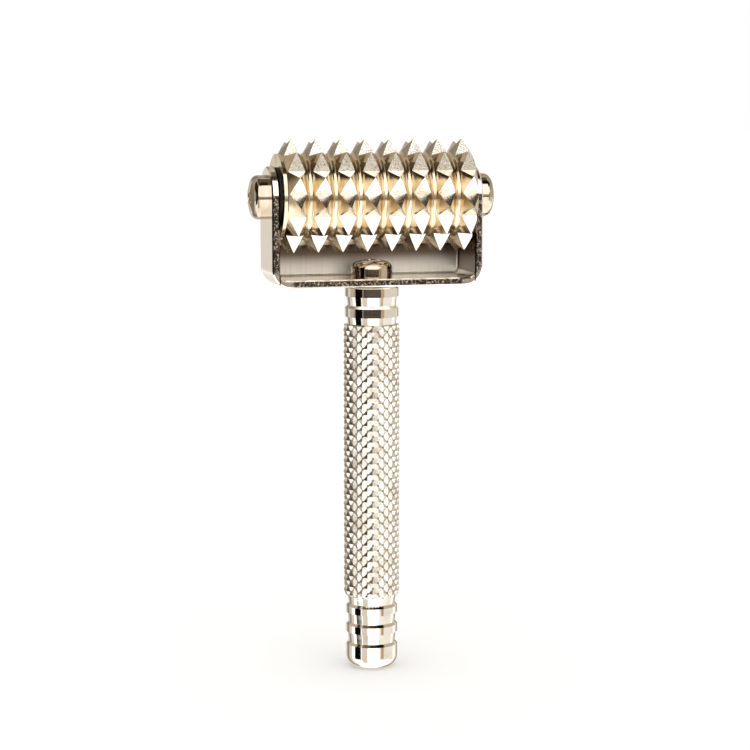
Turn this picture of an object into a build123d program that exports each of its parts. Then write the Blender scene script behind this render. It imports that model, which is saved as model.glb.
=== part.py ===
"""Derma roller: a spiked metal drum that turns in a U-shaped yoke on a knurled handle.

Units are millimetres. The origin is the centre of the handle's flat end, +Z runs up the
handle to the drum, and X is the drum's axle. The yoke is open towards -Y.
"""
from build123d import *
from math import acos, cos, degrees, radians, sin
import os

# Overall layout
axle_height = 101.0
fit_gap = 0.02                   # radial gap of a pushed-in spigot or shank
bush_running_gap = 0.05

# Yoke
yoke_inner_half = 20.95
yoke_sheet = 1.65
arm_radius = 6.4                 # half the arm's width, and the round of its top
bridge_top = axle_height - 16.97
wall_inner_y = 6.6
wall_top = axle_height - 9.5
sweep_clearance = 12.5           # radius about the axle that the back wall's top edge keeps out of
yoke_side_bend = 4.0
yoke_side_crease = 1.4
yoke_wall_bend = 2.4
yoke_wall_crease = 0.5
shoulder_radius = 1.2
rim_bevel = 0.3
screw_hole_radius = 2.7

# Drum
tip_radius = 12.17
tooth_rows = 12
tooth_columns = 8
first_row_angle = 80.9           # above -Y, at rest
column_pitch = 5.252
first_column_x = -17.7
valley_radius = 9.45             # bottom of the V between two rows
groove_radius = 9.0              # floor of the groove between two columns
groove_floor = 1.07
groove_round = 0.9               # where a groove's floor meets its walls
drum_left = -20.5
drum_right = 20.5
bore_radius = 5.2
bore_chamfer = 0.4

# Bushes and axle
bush_length = 8.0
bush_flange = 0.25
bush_flange_radius = 6.2
axle_radius = 4.0
tapped_radius = 2.5
tapped_depth = 12.0

# Screws
head_height = 3.7
axle_head_radius = 4.6
handle_head_radius = 4.4
head_crown_radius = 12.0
head_edge_round = 1.5
recess_span = 4.6
recess_width = 1.0
recess_depth = 1.9
recess_taper = 9.0
axle_shank = 12.5
handle_shank = 15.0

# Handle, as heights above its end
grip_radius = 6.0
grip_bore = 4.5
grip_bottom = 15.7
grip_top = axle_height - 26.95
grip_chamfer = 0.4
groove_flare = 0.2
end_ring_radius = 5.5
end_waist_radius = 4.95
end_round = 2.6
end_edges = (5.6, 7.8, 9.9, 12.0, 14.0)
end_spigot_top = 28.0
neck_ring_radius = 5.7
neck_waist_radius = 5.15
neck_top = bridge_top - yoke_sheet
neck_edges = (75.7, 78.1, 80.0)
neck_spigot_bottom = 60.0
spigot_chamfer = 0.6

# Worked out from the above
yoke_outer_half = yoke_inner_half + yoke_sheet
yoke_back = wall_inner_y + yoke_sheet
yoke_top = axle_height + arm_radius
spigot_radius = grip_bore - fit_gap
shank_radius = tapped_radius - fit_gap
axle_line = Axis((0, 0, axle_height), (1, 0, 0))

os.makedirs("parts", exist_ok=True)


def save(piece, name):
    """Label a finished piece and write it as one STEP file."""
    piece.label = name
    export_step(piece, f"parts/{name}.step")


def pressed_tray(half_width, back, floor, side_round, wall_round):
    """A block with an open front and top whose lower and rear edges are rounded."""
    with BuildPart() as tray:
        with BuildSketch(Plane.XY.offset(floor)):
            with Locations((0, (back - arm_radius) / 2)):
                Rectangle(2 * half_width, back + arm_radius)
        extrude(amount=yoke_top - floor)
        bottom = tray.faces().sort_by(Axis.Z)[0]
        fillet(bottom.edges().filter_by(Axis.Y), side_round)
        rear = tray.faces().sort_by(Axis.Y)[-1]
        rear_rim = rear.edges().sort_by(Axis.Z)[:-1]
        fillet(rear_rim, wall_round)
    return tray.part


# Yoke: one pressed sheet with two arms, a bridge and a low back wall
outer_tray = pressed_tray(yoke_outer_half, yoke_back, neck_top, yoke_side_bend, yoke_wall_bend)
inner_tray = pressed_tray(yoke_inner_half, wall_inner_y, bridge_top, yoke_side_crease,
                          yoke_wall_crease)

with BuildPart() as yoke:
    add(outer_tray)
    add(inner_tray, mode=Mode.SUBTRACT)
    with BuildSketch(Plane.YZ.offset(-yoke_outer_half)) as side_view:
        with BuildLine():
            Line((-arm_radius, axle_height), (-arm_radius, neck_top))
            Line((-arm_radius, neck_top), (yoke_back, neck_top))
            Line((yoke_back, neck_top), (yoke_back, wall_top))
            Line((yoke_back, wall_top), (arm_radius, wall_top))
            Line((arm_radius, wall_top), (arm_radius, axle_height))
            ThreePointArc((arm_radius, axle_height), (0, yoke_top), (-arm_radius, axle_height))
        make_face()
        inner_corner = side_view.vertices().filter_by_position(
            Axis.X, arm_radius - 0.1, arm_radius + 0.1).sort_by(Axis.Y)[0]
        fillet(inner_corner, shoulder_radius)
    extrude(amount=2 * yoke_outer_half, mode=Mode.INTERSECT)
    with Locations(Location((0, 0, axle_height), (0, 90, 0))):
        Hole(screw_hole_radius)
    with BuildSketch(Plane.XY.offset(bridge_top)):
        Circle(screw_hole_radius)
    extrude(amount=-yoke_sheet, mode=Mode.SUBTRACT)
    front_face = yoke.faces().filter_by(Axis.Y).sort_by(Axis.Y)[0]
    chamfer(front_face.edges(), rim_bevel)
    with BuildSketch(Plane.YZ.offset(-yoke_inner_half)):
        with Locations((0, axle_height)):
            Circle(sweep_clearance)
    extrude(amount=2 * yoke_inner_half, mode=Mode.SUBTRACT)

save(yoke.part, "yoke")

# Drum: a 12-pointed bar, cut by turned grooves into rows of pyramid teeth
wall_run = (column_pitch - groove_floor) / 2
wall_slope = wall_run / (tip_radius - groove_radius)
row_step = 360 / tooth_rows


def round_point(radius, angle):
    """A point of the star profile; angles are measured up from the -Y direction."""
    turn = radians(angle)
    return (-radius * cos(turn), axle_height + radius * sin(turn))


star_points = []
for row in range(tooth_rows):
    tip_angle = first_row_angle + row * row_step
    star_points.append(round_point(tip_radius, tip_angle))
    star_points.append(round_point(valley_radius, tip_angle + row_step / 2))

groove_points = [(drum_left, axle_height + groove_radius)]
for column in range(tooth_columns):
    tip_x = first_column_x + column * column_pitch
    groove_points.append((tip_x - wall_run, axle_height + groove_radius))
    groove_points.append((tip_x, axle_height + tip_radius))
    groove_points.append((tip_x + wall_run, axle_height + groove_radius))
last_tip_x = groove_points[-2][0]
last_wall_radius = tip_radius - (drum_right - last_tip_x) / wall_slope
groove_points[-1] = (drum_right, axle_height + last_wall_radius)

with BuildPart() as roller_drum:
    with BuildSketch(Plane.YZ.offset(drum_left)):
        with BuildLine():
            Polyline(*star_points, close=True)
        make_face()
    extrude(amount=drum_right - drum_left)
    with BuildSketch(Plane.XZ) as groove_profile:
        with BuildLine():
            Polyline(
                (drum_left, axle_height),
                *groove_points,
                (drum_right, axle_height),
                close=True,
            )
        make_face()
        groove_feet = groove_profile.vertices().filter_by_position(
            Axis.Y, axle_height + groove_radius - fit_gap, axle_height + groove_radius + fit_gap)
        fillet(groove_feet.sort_by(Axis.X)[2:], groove_round)
    revolve(axis=axle_line, mode=Mode.INTERSECT)
    with BuildSketch(Plane.YZ.offset(drum_left)):
        with Locations((0, axle_height)):
            Circle(bore_radius)
    extrude(amount=drum_right - drum_left, mode=Mode.SUBTRACT)
    bore_rims = roller_drum.edges().filter_by(GeomType.CIRCLE).filter_by(
        lambda edge: abs(edge.radius - bore_radius) < fit_gap)
    chamfer(bore_rims, bore_chamfer)

save(roller_drum.part, "roller_drum")


def flanged_bush(face_x, outward):
    """A bush pushed into one end of the drum; outward is +1 at the right end, -1 at the left."""
    with BuildPart() as bush:
        with BuildSketch(Plane.YZ.offset(face_x)):
            with Locations((0, axle_height)):
                Circle(bush_flange_radius)
        extrude(amount=outward * bush_flange)
        with BuildSketch(Plane.YZ.offset(face_x)):
            with Locations((0, axle_height)):
                Circle(bore_radius - fit_gap)
        extrude(amount=-outward * bush_length)
        with BuildSketch(Plane.YZ.offset(face_x + outward * bush_flange)):
            with Locations((0, axle_height)):
                Circle(axle_radius + bush_running_gap)
        extrude(amount=-outward * (bush_length + bush_flange), mode=Mode.SUBTRACT)
    return bush.part


save(flanged_bush(drum_left, -1), "bush_left")
save(flanged_bush(drum_right, 1), "bush_right")

# Axle: a bar held between the arms, with a tapped hole in each end
with BuildPart() as axle:
    with BuildSketch(Plane.YZ.offset(-yoke_inner_half)):
        with Locations((0, axle_height)):
            Circle(axle_radius)
    extrude(amount=2 * yoke_inner_half)
    for end_plane in (Plane.YZ.offset(yoke_inner_half), -Plane.YZ.offset(-yoke_inner_half)):
        with BuildSketch(end_plane) as tapped_hole:
            with Locations(end_plane.to_local_coords(Vector(end_plane.origin.X, 0, axle_height))):
                Circle(tapped_radius)
        extrude(amount=-tapped_depth, mode=Mode.SUBTRACT)

save(axle.part, "axle")


def pan_head_screw(seat, head_radius, shank_length):
    """A cross-recess screw whose head stands on the seat plane, with its shank below."""
    crown_centre = head_height - head_crown_radius
    crown_start = degrees(acos(head_radius / head_crown_radius))
    side_height = crown_centre + head_crown_radius * sin(radians(crown_start))
    half_section = Plane(seat.origin, x_dir=seat.x_dir, z_dir=-seat.y_dir)
    with BuildPart() as screw:
        with BuildSketch(half_section) as outline:
            with BuildLine():
                CenterArc((0, crown_centre), head_crown_radius, crown_start, 90 - crown_start)
                Polyline(
                    (0, head_height),
                    (0, -shank_length),
                    (shank_radius, -shank_length),
                    (shank_radius, 0),
                    (head_radius, 0),
                    (head_radius, side_height),
                )
            make_face()
            head_corner = outline.vertices().sort_by_distance((head_radius, side_height))[0]
            fillet(head_corner, head_edge_round)
        revolve(axis=Axis(seat.origin, seat.z_dir))
        with BuildSketch(seat.offset(head_height)):
            Rectangle(recess_span, recess_width)
            Rectangle(recess_width, recess_span)
        extrude(amount=-recess_depth, taper=recess_taper, mode=Mode.SUBTRACT)
    return screw.part


left_seat = Plane((-yoke_outer_half, 0, axle_height), x_dir=(0, 1, 1), z_dir=(-1, 0, 0))
right_seat = Plane((yoke_outer_half, 0, axle_height), x_dir=(0, 2, 1), z_dir=(1, 0, 0))
bridge_seat = Plane((0, 0, bridge_top), x_dir=(1, 1, 0), z_dir=(0, 0, 1))
save(pan_head_screw(left_seat, axle_head_radius, axle_shank), "axle_screw_left")
save(pan_head_screw(right_seat, axle_head_radius, axle_shank), "axle_screw_right")
save(pan_head_screw(bridge_seat, handle_head_radius, handle_shank), "handle_screw")


def ring_stack(edges, first_is_ring, ring_radius, waist_radius):
    """Outline points, bottom to top, of turned rings with grooves between them.

    Each ring has a sharp lower edge, and a bevel from its upper edge in to the groove above,
    which widens a little from the waist to its top.
    """
    bevel = ring_radius - waist_radius
    points = []
    is_ring = first_is_ring
    for low, high in zip(edges[:-1], edges[1:]):
        if is_ring:
            points.append((ring_radius, low))
            points.append((ring_radius, high - bevel))
            points.append((waist_radius, high))
        else:
            points.append((waist_radius + groove_flare, high))
        is_ring = not is_ring
    return points


# Neck collar: two rings under the bridge, tapped for the handle screw, on a spigot
with BuildPart() as neck_collar:
    with BuildSketch(Plane.XZ):
        with BuildLine():
            Polyline(
                (0, neck_spigot_bottom),
                (spigot_radius - spigot_chamfer, neck_spigot_bottom),
                (spigot_radius, neck_spigot_bottom + spigot_chamfer),
                (spigot_radius, grip_top),
                (neck_waist_radius, grip_top),
                *ring_stack((grip_top, *neck_edges, neck_top), False, neck_ring_radius,
                            neck_waist_radius),
                (0, neck_top),
                close=True,
            )
        make_face()
    revolve(axis=Axis.Z)
    with BuildSketch(Plane.XY.offset(neck_top)):
        Circle(tapped_radius)
    extrude(amount=-(handle_shank + spigot_chamfer), mode=Mode.SUBTRACT)

save(neck_collar.part, "neck_collar")

# Grip: a tube, at the diameter over its knurled points
with BuildPart() as grip_tube:
    with BuildSketch(Plane.XY.offset(grip_bottom)):
        Circle(grip_radius)
        Circle(grip_bore, mode=Mode.SUBTRACT)
    extrude(amount=grip_top - grip_bottom)
    outer_rims = grip_tube.edges().filter_by(GeomType.CIRCLE).filter_by(
        lambda edge: abs(edge.radius - grip_radius) < fit_gap)
    chamfer(outer_rims, grip_chamfer)

save(grip_tube.part, "grip_tube")

# End cap: rounded end with two rings above it, on a spigot
with BuildPart() as end_cap:
    with BuildSketch(Plane.XZ) as cap_profile:
        with BuildLine():
            Polyline(
                (0, 0),
                *ring_stack((0, *end_edges, grip_bottom), True, end_ring_radius,
                            end_waist_radius),
                (spigot_radius, grip_bottom),
                (spigot_radius, end_spigot_top - spigot_chamfer),
                (spigot_radius - spigot_chamfer, end_spigot_top),
                (0, end_spigot_top),
                close=True,
            )
        make_face()
        lower_corner = cap_profile.vertices().sort_by(Axis.Y)[:2].sort_by(Axis.X)[-1]
        fillet(lower_corner, end_round)
    revolve(axis=Axis.Z)

save(end_cap.part, "end_cap")
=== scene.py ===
"""Looks of the derma roller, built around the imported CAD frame. Lengths are in metres."""

from math import cos, floor, hypot, pi, radians, sin

import bmesh
import bpy
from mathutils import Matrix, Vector


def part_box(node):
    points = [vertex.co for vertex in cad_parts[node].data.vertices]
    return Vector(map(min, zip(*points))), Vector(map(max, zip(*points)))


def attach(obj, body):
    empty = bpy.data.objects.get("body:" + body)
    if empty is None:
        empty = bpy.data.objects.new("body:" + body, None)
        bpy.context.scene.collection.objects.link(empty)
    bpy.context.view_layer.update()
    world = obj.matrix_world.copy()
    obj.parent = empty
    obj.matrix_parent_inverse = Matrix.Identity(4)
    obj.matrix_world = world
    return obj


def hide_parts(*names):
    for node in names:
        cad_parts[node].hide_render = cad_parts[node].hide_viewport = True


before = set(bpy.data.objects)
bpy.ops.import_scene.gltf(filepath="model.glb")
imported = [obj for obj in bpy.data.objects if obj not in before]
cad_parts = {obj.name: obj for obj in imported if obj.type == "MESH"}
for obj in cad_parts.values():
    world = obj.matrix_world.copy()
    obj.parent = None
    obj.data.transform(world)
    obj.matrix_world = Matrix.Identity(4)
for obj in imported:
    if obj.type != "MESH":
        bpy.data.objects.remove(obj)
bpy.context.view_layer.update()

MM = 0.001

# Camera: a long lens a little above the drum and to its left
VIEW_AZIMUTH = radians(-14.24)
VIEW_ELEVATION = radians(7.24)
VIEW_DISTANCE = 469.5 * MM
VIEW_TARGET = Vector((0.76, 0.0, 63.07)) * MM
LENS = 106.1                     # on a 36 mm wide sensor

# Knurling of the grip
KNURL_STARTS = 16                # diamonds round the grip
KNURL_ROW = 2.33 * MM            # height of one diamond
KNURL_DEPTH = 0.45 * MM
GRIP_BEVEL = 0.45 * MM

# Radii about the axle between which the drum's turned grooves give way to the milled points
GROOVE_FLOOR = 9.2 * MM
GROOVE_FOOT = 9.4 * MM

# Thickness of the yoke's sheet
YOKE_SHEET = 1.65 * MM


def make_camera():
    back = Vector((
        sin(VIEW_AZIMUTH) * cos(VIEW_ELEVATION),
        -cos(VIEW_AZIMUTH) * cos(VIEW_ELEVATION),
        sin(VIEW_ELEVATION),
    ))
    data = bpy.data.cameras.new("camera")
    data.lens = LENS
    data.sensor_width = 36
    data.clip_start = 0.01
    data.clip_end = 50
    camera = bpy.data.objects.new("camera", data)
    camera.location = VIEW_TARGET + back * VIEW_DISTANCE
    camera.rotation_mode = "QUATERNION"
    camera.rotation_quaternion = (-back).to_track_quat("-Z", "Y")
    bpy.context.collection.objects.link(camera)
    bpy.context.scene.camera = camera


# ---------------------------------------------------------------- shader helpers

class Nodes:
    """Short calls for building a node tree."""

    def __init__(self, tree):
        self.tree = tree
        self.tree.nodes.clear()

    def new(self, kind, **settings):
        node = self.tree.nodes.new(kind)
        for name, value in settings.items():
            setattr(node, name, value)
        return node

    def put(self, value, socket):
        if isinstance(value, bpy.types.NodeSocket):
            self.tree.links.new(value, socket)
        else:
            socket.default_value = value

    def math(self, operation, a, b=0.0, c=0.0, clamp=False):
        node = self.new("ShaderNodeMath", operation=operation, use_clamp=clamp)
        for value, socket in zip((a, b, c), node.inputs):
            self.put(value, socket)
        return node.outputs[0]

    def mix(self, factor, a, b, blend="MIX"):
        node = self.new("ShaderNodeMix", data_type="RGBA", blend_type=blend)
        self.put(factor, node.inputs["Factor"])
        self.put(a, node.inputs["A"])
        self.put(b, node.inputs["B"])
        return node.outputs["Result"]

    def step(self, value, low, high):
        """0 below low, 1 above high, smooth in between."""
        node = self.new("ShaderNodeMapRange", interpolation_type="SMOOTHSTEP")
        self.put(value, node.inputs["Value"])
        node.inputs["From Min"].default_value = low
        node.inputs["From Max"].default_value = high
        return node.outputs["Result"]

    def band(self, value, low, high, soft):
        """1 between low and high, with edges soft wide. The edges at 90 and 180 don't fade."""
        edge = 0.5 * soft
        rise = self.step(value, low - edge, low + edge) if low not in (-90, -180) else 1.0
        fall = self.step(value, high - edge, high + edge) if high not in (90, 180) else 0.0
        return self.math("SUBTRACT", rise, fall, clamp=True)

    def noise(self, vector, scale, detail=3.0, roughness=0.5):
        node = self.new("ShaderNodeTexNoise")
        self.put(vector, node.inputs["Vector"])
        node.inputs["Scale"].default_value = scale
        node.inputs["Detail"].default_value = detail
        node.inputs["Roughness"].default_value = roughness
        return node.outputs["Fac"]

    def stretched(self, scale):
        """Object coordinates stretched by scale, for brushed grain."""
        coordinates = self.new("ShaderNodeTexCoord").outputs["Object"]
        mapping = self.new("ShaderNodeMapping")
        self.put(coordinates, mapping.inputs["Vector"])
        mapping.inputs["Scale"].default_value = scale
        return mapping.outputs["Vector"]

    def bump(self, height, strength, distance):
        node = self.new("ShaderNodeBump")
        self.put(height, node.inputs["Height"])
        node.inputs["Strength"].default_value = strength
        node.inputs["Distance"].default_value = distance
        return node.outputs["Normal"]


def start_material(name):
    """A new material: (material, node helper, its shader, metallic unless changed)."""
    material = bpy.data.materials.new(name)
    material.use_nodes = True
    nodes = Nodes(material.node_tree)
    shader = nodes.new("ShaderNodeBsdfPrincipled")
    output = nodes.new("ShaderNodeOutputMaterial")
    material.node_tree.links.new(shader.outputs[0], output.inputs["Surface"])
    shader.inputs["Metallic"].default_value = 1.0
    return material, nodes, shader


# Base colours of the metals
NICKEL = (0.89, 0.84, 0.76, 1)
NICKEL_PALE = (0.90, 0.86, 0.80, 1)
NICKEL_DULL = (0.72, 0.64, 0.53, 1)
# Gold of the turned grooves, darkened as painted shade
GROOVE_GOLD_AND_SHADE = (0.78, 0.68, 0.52, 1)
GROOVE_BROWN = (0.60, 0.47, 0.30, 1)
SCREW_BROWN = (0.60, 0.52, 0.42, 1)
SCREW_DULL = (0.46, 0.38, 0.29, 1)
GRIP_NICKEL = (0.78, 0.73, 0.66, 1)
GRIP_DULL = (0.58, 0.52, 0.45, 1)
# Painted shade inside the yoke
PAINTED_SHADE_BROWN = (0.15, 0.11, 0.08, 1)
# Tarnish in the drum's milled pits, also used as painted shade in the knurl's cuts
TARNISH_AND_SHADE = (0.16, 0.115, 0.075, 1)
CUT_STEEL = (0.045, 0.034, 0.027, 1)
STEEL = (0.62, 0.62, 0.63, 1)
ACETAL = (0.012, 0.012, 0.013, 1)
ACETAL_WORN = (0.03, 0.03, 0.031, 1)


def plain_metal(name, bright, dull, roughness, grain_scale, bump_strength):
    """Metal with cloudy colour, uneven roughness and a fine grain."""
    material, nodes, shader = start_material(name)
    place = nodes.stretched((1, 1, 1))
    cloud = nodes.noise(place, 220, 4)
    nodes.put(nodes.mix(nodes.step(cloud, 0.45, 0.75), bright, dull), shader.inputs["Base Color"])
    smudge = nodes.noise(place, 600, 3)
    rough = nodes.math("MULTIPLY_ADD", smudge, roughness, roughness * 0.6)
    nodes.put(rough, shader.inputs["Roughness"])
    grain = nodes.noise(place, grain_scale, 3)
    nodes.put(nodes.bump(grain, bump_strength, 0.02 * MM), shader.inputs["Normal"])
    return material


def turned_metal(name, roughness):
    """Polished nickel with faint rings left by the lathe, round the Z axis."""
    material, nodes, shader = start_material(name)
    place = nodes.stretched((1, 1, 1))
    cloud = nodes.noise(place, 260, 4)
    nodes.put(nodes.mix(nodes.step(cloud, 0.5, 0.8), NICKEL, NICKEL_DULL),
              shader.inputs["Base Color"])
    rings = nodes.noise(nodes.stretched((0.02, 0.02, 1)), 9000, 2)
    rough = nodes.math("MULTIPLY_ADD", rings, roughness, roughness * 0.6)
    nodes.put(rough, shader.inputs["Roughness"])
    nodes.put(nodes.bump(rings, 0.06, 0.01 * MM), shader.inputs["Normal"])
    return material


def drum_metal():
    """Machined nickel: sandy milled tooth faces, and golden turned grooves with rings, their gold
    darkened as painted shade.
    """
    material, nodes, shader = start_material("drum_metal")
    coordinates = nodes.new("ShaderNodeTexCoord")
    place = coordinates.outputs["Object"]
    facing = nodes.new("ShaderNodeSeparateXYZ")
    nodes.put(coordinates.outputs["Normal"], facing.inputs[0])
    sideways = nodes.math("ABSOLUTE", facing.outputs["X"])
    depth = nodes.new("ShaderNodeSeparateXYZ")
    nodes.put(place, depth.inputs[0])
    low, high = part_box("roller_drum")
    rise = nodes.math("SUBTRACT", depth.outputs["Z"], (low.z + high.z) / 2)
    across = nodes.math("POWER", nodes.math("ABSOLUTE", depth.outputs["Y"]), 2.0)
    reach = nodes.math("SQRT", nodes.math("MULTIPLY_ADD", rise, rise, across))
    floor_part = nodes.math("SUBTRACT", 1.0, nodes.step(reach, GROOVE_FLOOR, GROOVE_FOOT))
    turned = nodes.math("MAXIMUM", floor_part, nodes.step(sideways, 0.05, 0.3))

    cloud = nodes.noise(place, 260, 5)
    sheen = nodes.mix(nodes.step(cloud, 0.42, 0.75), NICKEL, NICKEL_DULL)
    speck = nodes.noise(place, 2300, 4, 0.7)
    pits = nodes.math("MULTIPLY", nodes.step(speck, 0.54, 0.68), 0.6)
    milled = nodes.mix(pits, sheen, TARNISH_AND_SHADE)
    # The grooves' gold is their turned finish, darkened as painted shade in the grooves
    gilt_and_shade = nodes.mix(nodes.step(cloud, 0.35, 0.7), GROOVE_GOLD_AND_SHADE, GROOVE_BROWN)
    nodes.put(nodes.mix(turned, milled, gilt_and_shade), shader.inputs["Base Color"])
    marks = nodes.noise(nodes.stretched((1, 0.1, 0.1)), 6000, 3)
    relief = nodes.mix(turned, speck, nodes.math("MULTIPLY", marks, 0.2))
    nodes.put(nodes.math("MULTIPLY_ADD", cloud, 0.14, 0.08), shader.inputs["Roughness"])
    nodes.put(nodes.bump(relief, 0.8, 0.06 * MM), shader.inputs["Normal"])
    return material


def rim_mask(nodes, split, low, high):
    """1 on the yoke's cut front edge, fading out where its two lower corners are worn smooth."""
    width = nodes.math("ABSOLUTE", split.outputs["X"])
    front = nodes.math("SUBTRACT", 1.0,
                       nodes.step(split.outputs["Y"], low.y + 0.01 * MM, low.y + 0.05 * MM))
    side = nodes.step(width, high.x - 5 * MM, high.x - 3 * MM)
    foot = nodes.math("SUBTRACT", 1.0,
                      nodes.step(split.outputs["Z"], low.z + 1.5 * MM, low.z + 4 * MM))
    worn = nodes.math("MULTIPLY", side, foot)
    return nodes.math("MULTIPLY", front, nodes.math("MULTIPLY_ADD", worn, -0.85, 1.0))


def paint_inner_shade(nodes, split, sheet, low, high):
    """Painted shade: brown on the inner faces of the arms and of the back wall, except along the
    wall's foot.
    """
    width = nodes.math("ABSOLUTE", split.outputs["X"])
    arm_face = high.x - YOKE_SHEET
    past_arm = nodes.step(width, arm_face - 0.2 * MM, arm_face - 0.05 * MM)
    outside = nodes.step(width, arm_face + 0.15 * MM, arm_face + 0.25 * MM)
    sheet = nodes.mix(nodes.math("SUBTRACT", past_arm, outside), sheet, PAINTED_SHADE_BROWN)
    wall_face = high.y - YOKE_SHEET
    wall = nodes.band(split.outputs["Y"], wall_face - 0.1 * MM, wall_face + 0.1 * MM, 0.1 * MM)
    height = nodes.step(split.outputs["Z"], low.z + 2.5 * MM, low.z + 6.5 * MM)
    return nodes.mix(nodes.math("MULTIPLY", wall, height), sheet, PAINTED_SHADE_BROWN)


def wall_foot_mask(nodes, split, low, high):
    """1 at the back wall's foot, 0 at its top and off the wall."""
    wall_face = high.y - YOKE_SHEET
    wall = nodes.step(split.outputs["Y"], wall_face - 0.35 * MM, wall_face + 0.05 * MM)
    foot = nodes.math("SUBTRACT", 1.0,
                      nodes.step(split.outputs["Z"], low.z + 2 * MM, low.z + 9 * MM))
    return nodes.math("MULTIPLY", wall, foot)


def yoke_metal():
    """Pressed sheet: vertical brushing, painted shade inside, and a rough cut rim."""
    material, nodes, shader = start_material("yoke_metal")
    low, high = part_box("yoke")
    coordinates = nodes.new("ShaderNodeTexCoord").outputs["Object"]
    split = nodes.new("ShaderNodeSeparateXYZ")
    nodes.put(coordinates, split.inputs[0])
    rim = rim_mask(nodes, split, low, high)

    cloud = nodes.noise(coordinates, 200, 4)
    sheet = nodes.mix(nodes.step(cloud, 0.45, 0.8), NICKEL_PALE, NICKEL)
    brushing = nodes.noise(nodes.stretched((1, 1, 0.02)), 3600, 3)
    worn_lines = nodes.math("MULTIPLY", nodes.step(brushing, 0.45, 0.75), 0.5)
    sheet = nodes.mix(worn_lines, sheet, NICKEL_DULL)
    # Painted shade: the arms' inner faces and the back wall turn brown, lighter at the wall's
    # foot
    sheet = paint_inner_shade(nodes, split, sheet, low, high)
    speck = nodes.noise(coordinates, 3200, 3, 0.7)
    cut = nodes.mix(nodes.step(speck, 0.52, 0.66), CUT_STEEL, NICKEL_DULL)
    nodes.put(nodes.mix(rim, sheet, cut), shader.inputs["Base Color"])

    # The back wall is more matt towards its foot, and the cut rim is matt all along
    matt = nodes.math("MULTIPLY_ADD", wall_foot_mask(nodes, split, low, high), 0.42, 0.14)
    nodes.put(nodes.math("MULTIPLY_ADD", rim, 0.2, matt), shader.inputs["Roughness"])
    relief = nodes.mix(rim, brushing, speck)
    nodes.put(nodes.bump(relief, 0.4, 0.03 * MM), shader.inputs["Normal"])
    return material


def grip_metal():
    """Nickel over the knurling, worn bright on the points, with painted shade in the cuts,
    darkest where two grooves cross.
    """
    material, nodes, shader = start_material("grip_metal")
    place = nodes.stretched((1, 1, 0))
    reach = nodes.new("ShaderNodeVectorMath", operation="LENGTH")
    nodes.put(place, reach.inputs[0])
    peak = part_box("grip_tube")[1].x
    cut = nodes.math("SUBTRACT", 1.0, nodes.step(reach.outputs["Value"], peak - KNURL_DEPTH,
                                                 peak - 0.4 * KNURL_DEPTH))
    # 1 where two grooves cross and -1 on the points
    split = nodes.new("ShaderNodeSeparateXYZ")
    nodes.put(nodes.stretched((1, 1, 1)), split.inputs[0])
    turn = nodes.math("ARCTAN2", split.outputs["Y"], split.outputs["X"])
    level = nodes.math("SUBTRACT", split.outputs["Z"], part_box("grip_tube")[0].z - KNURL_ROW / 2)
    around = nodes.math("COSINE", nodes.math("MULTIPLY", turn, KNURL_STARTS))
    along = nodes.math("COSINE", nodes.math("MULTIPLY", level, 2 * pi / KNURL_ROW))
    crossing = nodes.step(nodes.math("MULTIPLY", around, along), 0.6, 0.9)
    # Painted shade in the knurl's cuts, darkest where two grooves cross
    cut_shade = nodes.math("MULTIPLY", cut, nodes.math("MULTIPLY_ADD", crossing, 0.85, 0.04))
    cloud = nodes.noise(nodes.stretched((1, 1, 1)), 300, 4)
    bright = nodes.mix(nodes.step(cloud, 0.42, 0.75), GRIP_NICKEL, GRIP_DULL)
    nodes.put(nodes.mix(cut_shade, bright, TARNISH_AND_SHADE), shader.inputs["Base Color"])
    nodes.put(nodes.math("MULTIPLY_ADD", cloud, 0.12, 0.24), shader.inputs["Roughness"])
    grain = nodes.noise(nodes.stretched((1, 1, 1)), 3000, 3)
    nodes.put(nodes.bump(grain, 0.25, 0.02 * MM), shader.inputs["Normal"])
    return material


def bush_plastic():
    """Black acetal, turned."""
    material, nodes, shader = start_material("bush_plastic")
    shader.inputs["Metallic"].default_value = 0.0
    shader.inputs["Specular IOR Level"].default_value = 0.15
    cloud = nodes.noise(nodes.stretched((1, 1, 1)), 900, 3)
    nodes.put(nodes.mix(cloud, ACETAL, ACETAL_WORN), shader.inputs["Base Color"])
    rings = nodes.noise(nodes.stretched((1, 0.1, 0.1)), 6000, 2)
    nodes.put(nodes.math("MULTIPLY_ADD", rings, 0.2, 0.35), shader.inputs["Roughness"])
    nodes.put(nodes.bump(rings, 0.2, 0.02 * MM), shader.inputs["Normal"])
    return material


# ---------------------------------------------------------------- grip

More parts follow.
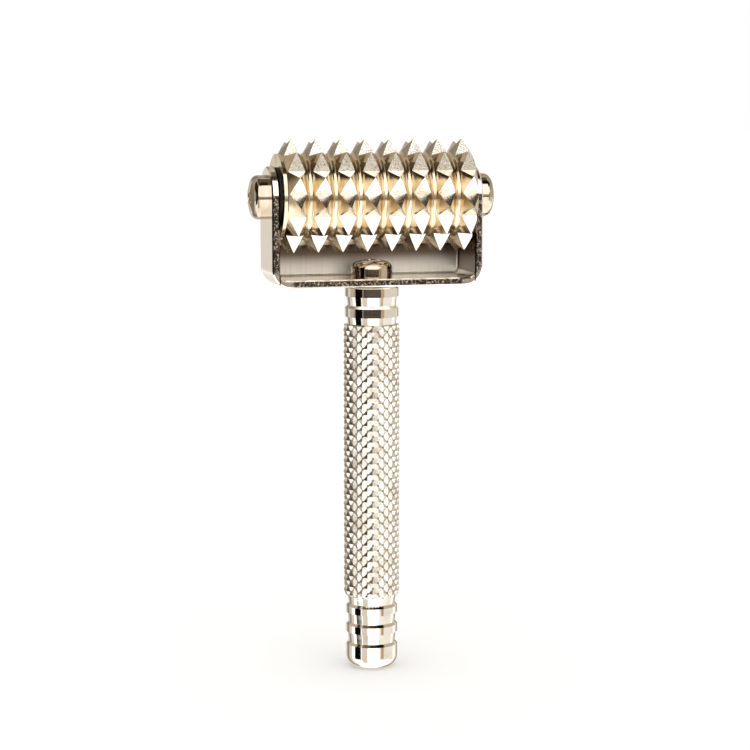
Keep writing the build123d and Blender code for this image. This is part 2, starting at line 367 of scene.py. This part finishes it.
def knurled_grip():
    """The grip tube with real diamond knurling, cut by two crossing sets of helical V grooves.

    Grid points alternate between a groove crossing and a diamond's peak, so each cell is
    split along its groove.
    """
    low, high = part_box("grip_tube")
    peak = high.x
    columns = 2 * KNURL_STARTS
    half_row = KNURL_ROW / 2
    rows = floor((high.z - low.z) / half_row) + 3
    first_z = low.z - half_row

    mesh = bmesh.new()
    grid = []
    for row in range(rows + 1):
        ring = []
        for column in range(columns):
            is_peak = (row + column) % 2 == 1
            radius = peak if is_peak else peak - KNURL_DEPTH
            turn = 2 * pi * column / columns
            ring.append(mesh.verts.new((radius * cos(turn), radius * sin(turn),
                                        first_z + row * half_row)))
        grid.append(ring)
    for row in range(rows):
        for column in range(columns):
            after = (column + 1) % columns
            a, b = grid[row][column], grid[row][after]
            c, d = grid[row + 1][after], grid[row + 1][column]
            if (row + column) % 2 == 0:
                mesh.faces.new((a, b, c))
                mesh.faces.new((a, c, d))
            else:
                mesh.faces.new((a, b, d))
                mesh.faces.new((b, c, d))

    for height in (low.z + GRIP_BEVEL, high.z - GRIP_BEVEL):
        cut_level(mesh, height)
    cut_level(mesh, low.z, keep_above=True)
    cut_level(mesh, high.z, keep_below=True)
    neck = peak - GRIP_BEVEL - 0.1 * MM
    for vert in mesh.verts:
        if vert.co.z < low.z + 0.01 * MM or vert.co.z > high.z - 0.01 * MM:
            radius = hypot(vert.co.x, vert.co.y)
            vert.co.x *= neck / radius
            vert.co.y *= neck / radius
    rims = [edge for edge in mesh.edges if edge.is_boundary]
    bmesh.ops.holes_fill(mesh, edges=rims, sides=0)
    mesh.normal_update()

    data = bpy.data.meshes.new("knurled_grip")
    mesh.to_mesh(data)
    mesh.free()
    grip = bpy.data.objects.new("knurled_grip", data)
    bpy.context.collection.objects.link(grip)
    return grip


def cut_level(mesh, height, keep_above=False, keep_below=False):
    """Cut a mesh by a level plane, and drop the side that isn't kept."""
    everything = [*mesh.verts, *mesh.edges, *mesh.faces]
    bmesh.ops.bisect_plane(mesh, geom=everything, plane_co=(0, 0, height), plane_no=(0, 0, 1),
                           clear_inner=keep_above, clear_outer=keep_below)


# ---------------------------------------------------------------- edges

def soften(obj, width, segments=2, angle=25):
    """Break the sharp edges of a CAD node so that they catch the light."""
    bevel = obj.modifiers.new("soften", "BEVEL")
    bevel.width = width
    bevel.segments = segments
    bevel.limit_method = "ANGLE"
    bevel.angle_limit = radians(angle)
    bevel.harden_normals = True


# ---------------------------------------------------------------- studio

def direction(nodes):
    """(azimuth, elevation) of the world direction in degrees; azimuth 0 is -Y, + towards +X."""
    vector = nodes.new("ShaderNodeTexCoord").outputs["Generated"]
    split = nodes.new("ShaderNodeSeparateXYZ")
    nodes.put(vector, split.inputs[0])
    x, y, z = split.outputs
    azimuth = nodes.math("ARCTAN2", x, nodes.math("MULTIPLY", y, -1.0))
    elevation = nodes.math("ARCSINE", z)
    return (nodes.math("MULTIPLY", azimuth, 180 / pi),
            nodes.math("MULTIPLY", elevation, 180 / pi))


# Colours of the studio
WHITE = (1.9, 1.88, 1.84, 1)
PALE = (0.98, 0.95, 0.90, 1)
CREAM = (0.78, 0.72, 0.64, 1)
BEIGE = (0.55, 0.48, 0.38, 1)
GOLD = (0.52, 0.38, 0.21, 1)
GREY = (0.33, 0.31, 0.29, 1)
OLIVE = (0.16, 0.13, 0.085, 1)
BROWN = (0.045, 0.030, 0.019, 1)
BLACK = (0.004, 0.003, 0.003, 1)
FILL_LIGHT = (1.15, 1.14, 1.12, 1)
BACKDROP = (1.0, 1.0, 1.0, 1)

# What polished metal sees, painted in this order over a pale room. Each patch has the
# azimuths and elevations that it spans, the softness of its edges and its colour.
STUDIO = (
    (-180, 180, 64, 90, 6, OLIVE),       # ceiling
    (-180, -150, 8, 58, 6, GREY),        # far wall
    (-150, -118, 8, 58, 8, BEIGE),
    (-118, -50, 13, 60, 5, BROWN),       # dark corner on the left
    (48, 150, 20, 60, 12, BEIGE),        # right wall
    (150, 180, 8, 58, 8, BEIGE),
    (-118, -88, -9, 13, 4, BEIGE),       # left wall, low down
    (-50, 42, 5, 63, 3, WHITE),          # soft light in front
    (-30, 75, 65, 84, 4, BROWN),         # dark gap above it
    (33, 80, 42, 72, 5, BLACK),          # black corner, high on the right
    (-50, -35, -9, 9, 4, GREY),          # the room under the soft light
    (-35, 28, -4, 5, 1.5, BEIGE),
    (-50, 28, -12, -4, 1.5, BROWN),      # the table's far edge
    (-180, 180, -90, -9, 4, WHITE),      # table
    (-180, -112, -60, -9, 10, CREAM),    # the floor behind the object
    (112, 180, -60, -9, 10, CREAM),
    (-60, -32, -50, -9, 6, CREAM),       # the table's left end
    (-158, -134, -60, 8, 5, GREY),       # dark stripes behind the object
    (138, 150, -60, 8, 4, BROWN),
    (20, 100, -26, -9, 7, PALE),         # the table's right end
    (29, 42, -18, 14, 6, GOLD),          # a warm strip beside the soft light
    (-88, -52, -11, 30, 3, BLACK),       # black flag, standing on the table
    (-96, -63, -24, -6, 4, BLACK),
)


def make_world():
    """A bright white room. Reflections see the studio around the object."""
    world = bpy.data.worlds.new("studio")
    bpy.context.scene.world = world
    world.use_nodes = True
    nodes = Nodes(world.node_tree)
    azimuth, elevation = direction(nodes)
    room = CREAM
    for left, right, low, high, softness, colour in STUDIO:
        inside = nodes.band(elevation, low, high, softness)
        if right - left < 360:
            inside = nodes.math("MULTIPLY", inside, nodes.band(azimuth, left, right, softness))
        room = nodes.mix(inside, room, colour)

    rays = nodes.new("ShaderNodeLightPath")
    soft = nodes.mix(rays.outputs["Is Diffuse Ray"], room, FILL_LIGHT)
    seen = nodes.mix(rays.outputs["Is Camera Ray"], soft, BACKDROP)
    background = nodes.new("ShaderNodeBackground")
    nodes.put(seen, background.inputs["Color"])
    output = nodes.new("ShaderNodeOutputWorld")
    world.node_tree.links.new(background.outputs[0], output.inputs["Surface"])


def make_floor():
    """A plain pale floor under the handle's end."""
    half = 6.0
    data = bpy.data.meshes.new("floor")
    data.from_pydata([(-half, -half, 0), (half, -half, 0), (half, half, 0), (-half, half, 0)],
                     [], [(0, 1, 2, 3)])
    floor_sheet = bpy.data.objects.new("floor", data)
    bpy.context.collection.objects.link(floor_sheet)
    floor_sheet.visible_glossy = False
    material = bpy.data.materials.new("floor")
    material.use_nodes = True
    shader = material.node_tree.nodes["Principled BSDF"]
    shader.inputs["Base Color"].default_value = (0.9, 0.9, 0.9, 1)
    shader.inputs["Roughness"].default_value = 0.9
    shader.inputs["Specular IOR Level"].default_value = 0.0
    data.materials.append(material)


def dress(node, material):
    """Give a CAD node its material."""
    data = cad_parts[node].data
    data.materials.clear()
    data.materials.append(material)


make_camera()
make_world()
make_floor()
bpy.context.scene.view_settings.view_transform = "Standard"

handle_look = turned_metal("handle_metal", 0.07)
screw_look = plain_metal("screw_metal", SCREW_BROWN, SCREW_DULL, 0.06, 2500, 0.05)
dress("yoke", yoke_metal())
dress("roller_drum", drum_metal())
dress("neck_collar", handle_look)
dress("end_cap", handle_look)
for screw in ("axle_screw_left", "axle_screw_right", "handle_screw"):
    dress(screw, screw_look)
bush_look = bush_plastic()
dress("bush_left", bush_look)
dress("bush_right", bush_look)
dress("axle", plain_metal("axle_steel", STEEL, NICKEL_DULL, 0.15, 3000, 0.1))

for name, width in (("roller_drum", 0.06 * MM), ("neck_collar", 0.08 * MM),
                    ("end_cap", 0.08 * MM), ("yoke", 0.08 * MM)):
    soften(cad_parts[name], width)

grip = knurled_grip()
grip.data.materials.append(grip_metal())
soften(grip, 0.06 * MM, 2, 15)
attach(grip, "frame")
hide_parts("grip_tube")
